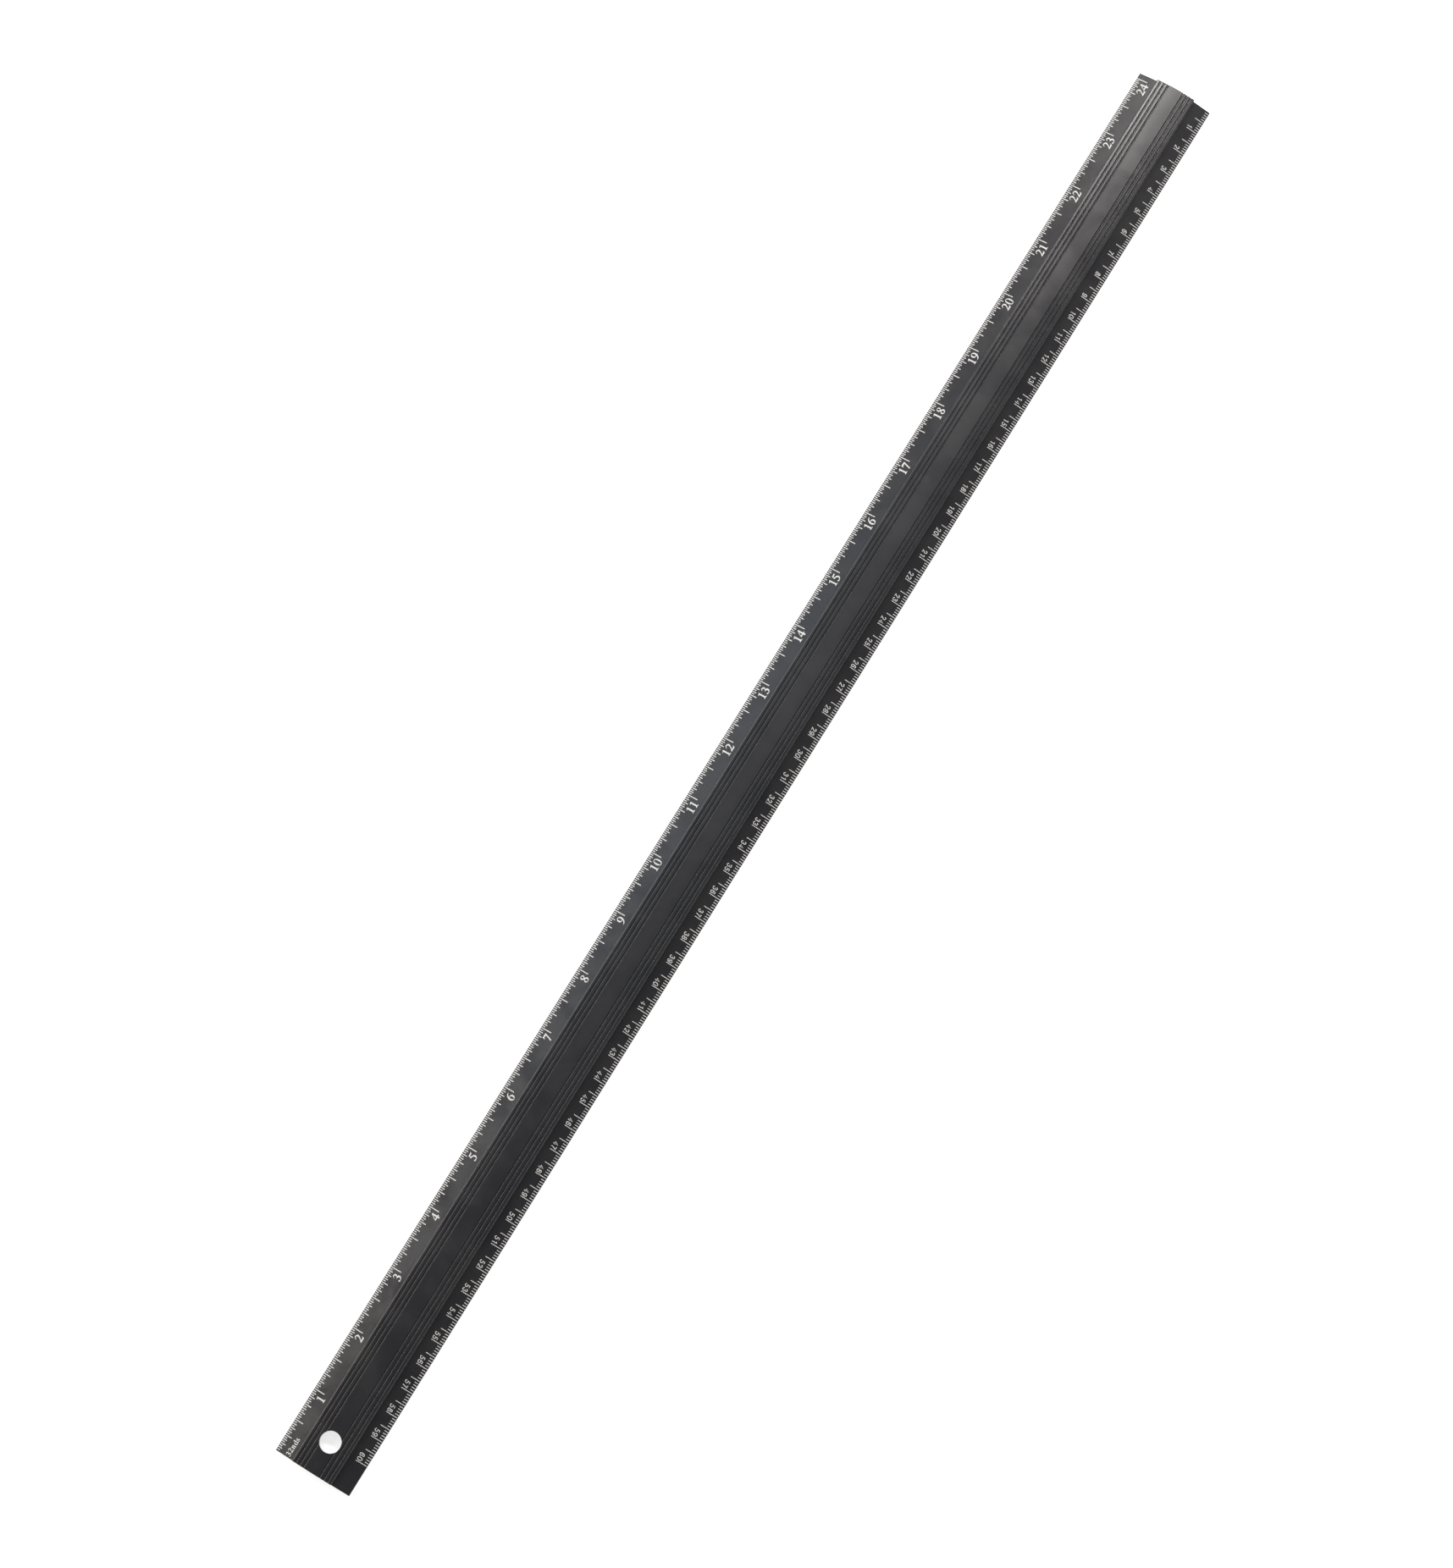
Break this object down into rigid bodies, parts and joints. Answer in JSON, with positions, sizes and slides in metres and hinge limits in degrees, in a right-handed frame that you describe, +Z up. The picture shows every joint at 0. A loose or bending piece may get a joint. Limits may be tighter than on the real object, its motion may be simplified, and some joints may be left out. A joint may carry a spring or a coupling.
{
  "type": "ruler",
  "caption": "Long aluminium ruler with a crowned, grooved finger rib, two thin bevelled scale edges, a hanging hole at one end and rubber anti-slip strips underneath.",
  "frame": {"origin": "on the surface that the rubber strips stand on, under the middle of the ruler", "axes": "+X along the ruler from the inch zero end with the hanging hole to the plain end, +Y across to the inch edge, +Z up through the ribbed face"},
  "size_m": [0.612, 0.031, 0.0053],
  "materials": {
    "anodised_body": "satin black anodised extrusion",
    "rubber_strip": "matte soft rubber",
    "white_marks": "matte white graduations and numerals on the anodised face"
  },
  "bodies": {
    "root": {"ruler_body": "anodised_body", "grip_strip_inch_side": "rubber_strip", "grip_strip_metric_side": "rubber_strip"}
  },
  "joints": []
}
